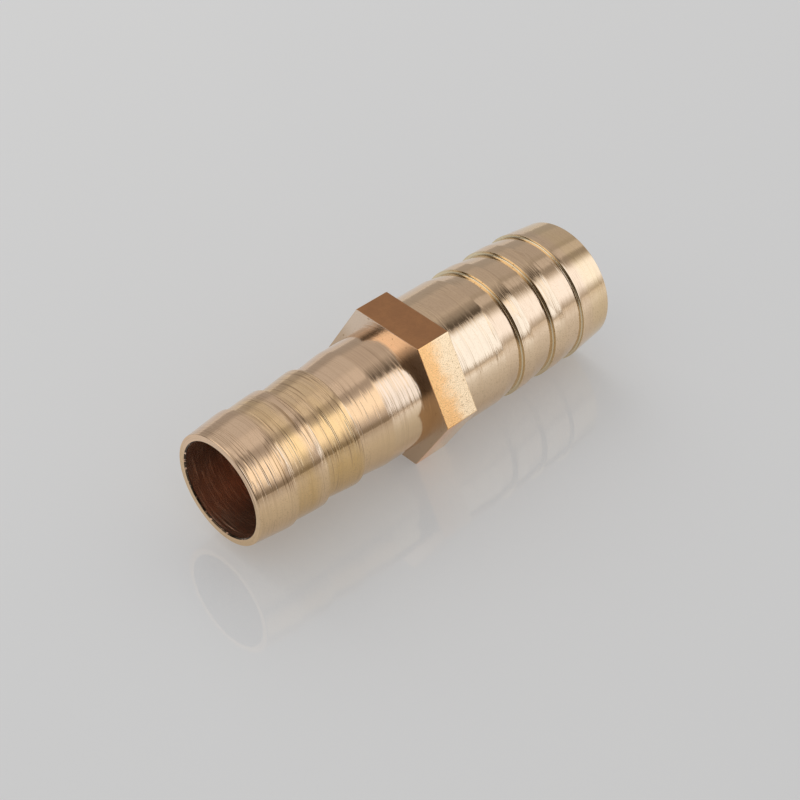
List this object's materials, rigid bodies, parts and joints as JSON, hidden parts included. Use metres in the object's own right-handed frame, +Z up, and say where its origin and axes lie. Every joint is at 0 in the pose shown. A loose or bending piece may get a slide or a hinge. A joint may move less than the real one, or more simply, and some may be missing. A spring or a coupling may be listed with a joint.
{
  "type": "hose barb reducer",
  "caption": "Turned brass hose barb reducer with a hexagon collar between a larger and a smaller barbed end, bored through for flow.",
  "frame": {"origin": "on the ground under the middle of the length, at the lowest flat of the hexagon collar", "axes": "+X along the bore towards the larger end, +Z up through the top flat of the collar"},
  "size_m": [0.066, 0.0242, 0.021],
  "materials": {
    "brass": "turned brass with fine tool marks"
  },
  "bodies": {
    "root": {"reducer_body": "brass"}
  },
  "joints": []
}
